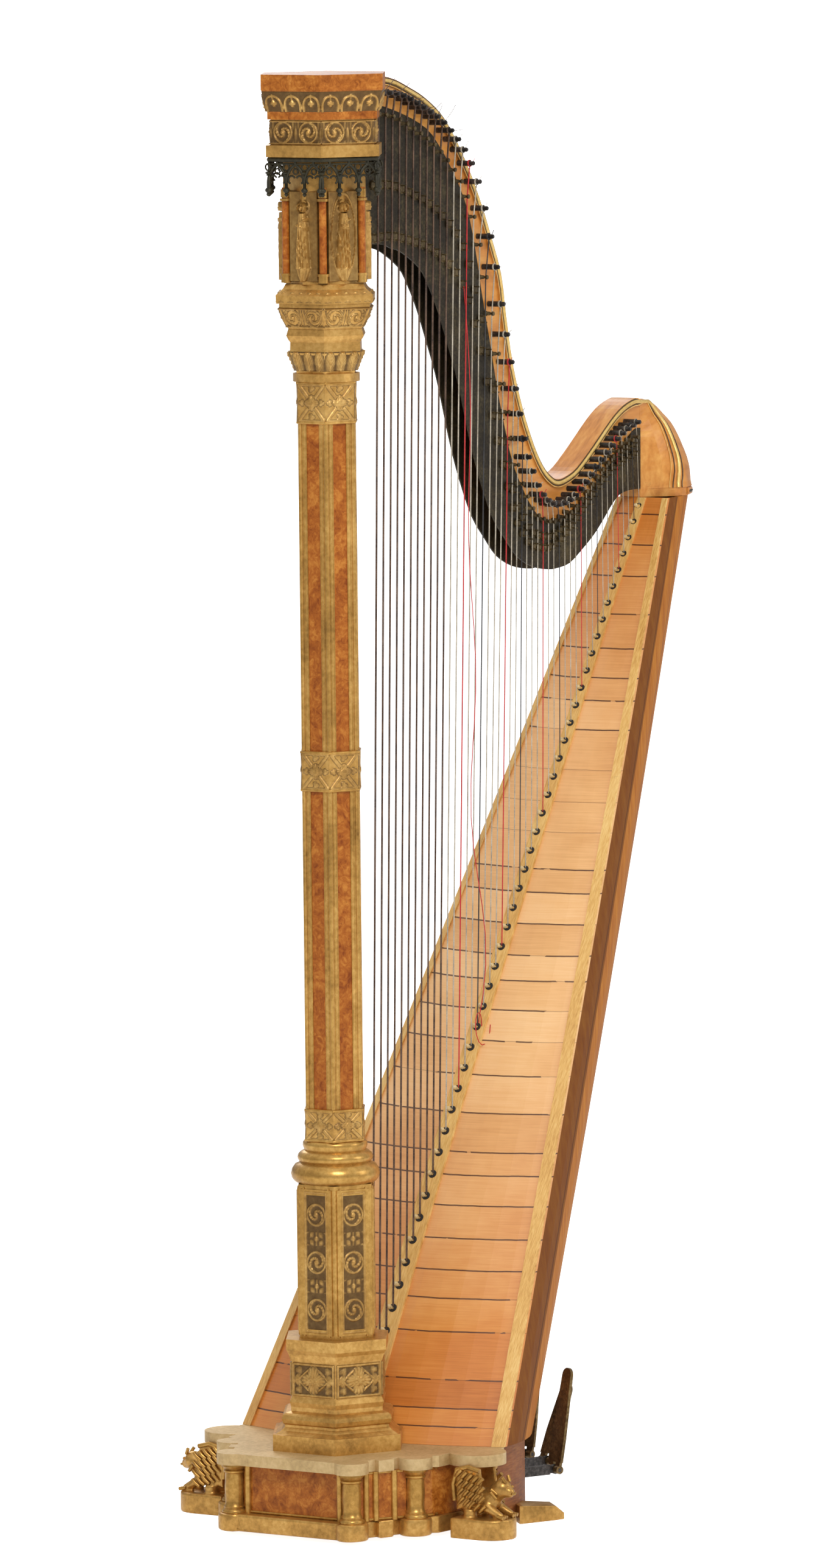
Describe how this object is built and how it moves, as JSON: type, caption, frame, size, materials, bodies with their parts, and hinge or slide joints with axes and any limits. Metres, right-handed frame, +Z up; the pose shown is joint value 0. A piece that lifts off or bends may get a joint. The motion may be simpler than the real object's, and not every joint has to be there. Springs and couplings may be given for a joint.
{
  "type": "concert harp",
  "caption": "Gothic pedal harp: carved six-sided column, curved neck with tuning pins and disc action, tapering soundbox, strings, folding pedals on levers.",
  "frame": {"origin": "floor level, midway between the front of the base and the back of the shoulder, in the column's middle plane", "axes": "+X from the column to the soundbox, +Z up, the strings' near side towards -Y"},
  "size_m": [0.963, 0.4778, 1.765],
  "materials": {
    "gilt": "gilded carved wood, worn and toned",
    "burl": "varnished figured maple",
    "neck_wood": "varnished maple",
    "shell_wood": "varnished maple staves",
    "bronze_gilt": "bronze-green gilding",
    "plate_brass": "tarnished brass sheet",
    "steel": "blued steel",
    "disc_brass": "turned brass",
    "rib_metal": "mill finish",
    "board_wood": "varnished spruce, grain across",
    "pale_wood": "varnished pale maple",
    "wound_wire": "wire wound over a core",
    "gut": "gut, satin",
    "treadle_brass": "worn brass"
  },
  "bodies": {
    "frame": {"base_bottom_board": "gilt", "base_top_board": "gilt", "base_wall_panels": "burl", "base_colonnettes": "gilt", "beast_left": "gilt", "beast_right": "gilt", "rear_feet": "gilt", "pedal_box": "shell_wood", "pivot_rack": "steel", "column_base": "gilt", "column_pedestal": "burl", "column_rings": "gilt", "column_shaft": "burl", "column_ribs": "gilt", "capital_bowl": "gilt", "capital_drum": "gilt", "tracery_gallery": "bronze_gilt", "capital_frieze": "gilt", "capital_cap": "burl", "neck": "neck_wood", "neck_beading": "gilt", "shoulder": "neck_wood", "action_plate_left": "plate_brass", "action_plate_right": "plate_brass", "tuning_pins": "steel", "bridge_pins": "steel", "natural_discs": "disc_brass", "sharp_discs": "disc_brass", "action_links": "steel", "soundbox_shell": "shell_wood", "soundbox_ribs": "rib_metal", "soundboard": "board_wood", "string_rib": "pale_wood", "edge_strips": "pale_wood", "bass_strings": "wound_wire", "gut_strings": "gut", "string_pegs": "pale_wood"},
    "pedal_d": {"pedal_d": "steel"},
    "treadle_d": {"treadle_d": "treadle_brass"},
    "rod_d": {"rod_d": "steel"},
    "pedal_c": {"pedal_c": "steel"},
    "treadle_c": {"treadle_c": "treadle_brass"},
    "rod_c": {"rod_c": "steel"},
    "pedal_b": {"pedal_b": "steel"},
    "treadle_b": {"treadle_b": "treadle_brass"},
    "rod_b": {"rod_b": "steel"},
    "pedal_e": {"pedal_e": "steel"},
    "treadle_e": {"treadle_e": "treadle_brass"},
    "rod_e": {"rod_e": "steel"},
    "pedal_f": {"pedal_f": "steel"},
    "treadle_f": {"treadle_f": "treadle_brass"},
    "rod_f": {"rod_f": "steel"},
    "pedal_g": {"pedal_g": "steel"},
    "treadle_g": {"treadle_g": "treadle_brass"},
    "rod_g": {"rod_g": "steel"},
    "pedal_a": {"pedal_a": "steel"},
    "treadle_a": {"treadle_a": "treadle_brass"},
    "rod_a": {"rod_a": "steel"},
    "c_natural_disc": {"c_natural_disc": "disc_brass"},
    "c_sharp_disc": {"c_sharp_disc": "disc_brass"}
  },
  "joints": [
    {"name": "pedal_d_press", "type": "hinge", "parent": "frame", "child": "pedal_d", "pos_m": [-0.30261, -0.04738, 0.044], "axis": [-0.4397, -0.8981, 0], "range_deg": [0, 7]},
    {"name": "treadle_d_fold", "type": "hinge", "parent": "pedal_d", "child": "treadle_d", "pos_m": [-0.0958, -0.14863, 0.044], "axis": [0.4397, 0.8981, 0], "range_deg": [0, 80]},
    {"name": "rod_d_slide", "type": "slide", "parent": "frame", "child": "rod_d", "axis": [0, 0, 1], "range_m": [-0.0075, 0]},
    {"name": "pedal_c_press", "type": "hinge", "parent": "frame", "child": "pedal_c", "pos_m": [-0.29895, -0.03098, 0.044], "axis": [-0.283, -0.9591, 0], "range_deg": [0, 7]},
    {"name": "treadle_c_fold", "type": "hinge", "parent": "pedal_c", "child": "treadle_c", "pos_m": [-0.04481, -0.10598, 0.044], "axis": [0.283, 0.9591, 0], "range_deg": [0, 68]},
    {"name": "rod_c_slide", "type": "slide", "parent": "frame", "child": "rod_c", "axis": [0, 0, 1], "range_m": [-0.0075, 0]},
    {"name": "pedal_b_press", "type": "hinge", "parent": "frame", "child": "pedal_b", "pos_m": [-0.29708, -0.01531, 0.044], "axis": [-0.1386, -0.9904, 0], "range_deg": [0, 7]},
    {"name": "treadle_b_fold", "type": "hinge", "parent": "pedal_b", "child": "treadle_b", "pos_m": [-0.01254, -0.05513, 0.044], "axis": [0.1386, 0.9904, 0], "range_deg": [0, 80]},
    {"name": "rod_b_slide", "type": "slide", "parent": "frame", "child": "rod_b", "axis": [0, 0, 1], "range_m": [-0.0075, 0]},
    {"name": "pedal_e_press", "type": "hinge", "parent": "frame", "child": "pedal_e", "pos_m": [-0.2965, 0, 0.044], "axis": [0, -1, 0], "range_deg": [0, 7]},
    {"name": "treadle_e_fold", "type": "hinge", "parent": "pedal_e", "child": "treadle_e", "pos_m": [-0.0015, 0, 0.044], "axis": [0, 1, 0], "range_deg": [0, 82]},
    {"name": "rod_e_slide", "type": "slide", "parent": "frame", "child": "rod_e", "axis": [0, 0, 1], "range_m": [-0.0075, 0]},
    {"name": "pedal_f_press", "type": "hinge", "parent": "frame", "child": "pedal_f", "pos_m": [-0.29708, 0.01531, 0.044], "axis": [0.1386, -0.9904, 0], "range_deg": [0, 7]},
    {"name": "treadle_f_fold", "type": "hinge", "parent": "pedal_f", "child": "treadle_f", "pos_m": [-0.01254, 0.05513, 0.044], "axis": [-0.1386, 0.9904, 0], "range_deg": [0, 78]},
    {"name": "rod_f_slide", "type": "slide", "parent": "frame", "child": "rod_f", "axis": [0, 0, 1], "range_m": [-0.0075, 0]},
    {"name": "pedal_g_press", "type": "hinge", "parent": "frame", "child": "pedal_g", "pos_m": [-0.29895, 0.03098, 0.044], "axis": [0.283, -0.9591, 0], "range_deg": [0, 7]},
    {"name": "treadle_g_fold", "type": "hinge", "parent": "pedal_g", "child": "treadle_g", "pos_m": [-0.04481, 0.10598, 0.044], "axis": [-0.283, 0.9591, 0], "range_deg": [0, 80]},
    {"name": "rod_g_slide", "type": "slide", "parent": "frame", "child": "rod_g", "axis": [0, 0, 1], "range_m": [-0.0075, 0]},
    {"name": "pedal_a_press", "type": "hinge", "parent": "frame", "child": "pedal_a", "pos_m": [-0.30261, 0.04738, 0.044], "axis": [0.4397, -0.8981, 0], "range_deg": [0, 7]},
    {"name": "treadle_a_fold", "type": "hinge", "parent": "pedal_a", "child": "treadle_a", "pos_m": [-0.0958, 0.14863, 0.044], "axis": [-0.4397, 0.8981, 0], "range_deg": [0, 80]},
    {"name": "rod_a_slide", "type": "slide", "parent": "frame", "child": "rod_a", "axis": [0, 0, 1], "range_m": [-0.0075, 0]},
    {"name": "c_natural_disc_turn", "type": "hinge", "parent": "frame", "child": "c_natural_disc", "pos_m": [0.04967, 0.003, 1.29609], "axis": [0, -1, 0], "range_deg": [0, 62.1]},
    {"name": "c_sharp_disc_turn", "type": "hinge", "parent": "frame", "child": "c_sharp_disc", "pos_m": [0.04897, 0.003, 1.26832], "axis": [0, -1, 0], "range_deg": [0, 62.1]}
  ],
  "couplings": [
    {"joint": "rod_d_slide", "follows": "pedal_d_press", "m_per_rad": -0.06},
    {"joint": "rod_c_slide", "follows": "pedal_c_press", "m_per_rad": -0.06},
    {"joint": "rod_b_slide", "follows": "pedal_b_press", "m_per_rad": -0.06},
    {"joint": "rod_e_slide", "follows": "pedal_e_press", "m_per_rad": -0.06},
    {"joint": "rod_f_slide", "follows": "pedal_f_press", "m_per_rad": -0.06},
    {"joint": "rod_g_slide", "follows": "pedal_g_press", "m_per_rad": -0.06},
    {"joint": "rod_a_slide", "follows": "pedal_a_press", "m_per_rad": -0.06},
    {"joint": "c_natural_disc_turn", "follows": "pedal_c_press", "ratio": 8.8571},
    {"joint": "c_sharp_disc_turn", "follows": "pedal_c_press", "ratio": 8.8571}
  ]
}
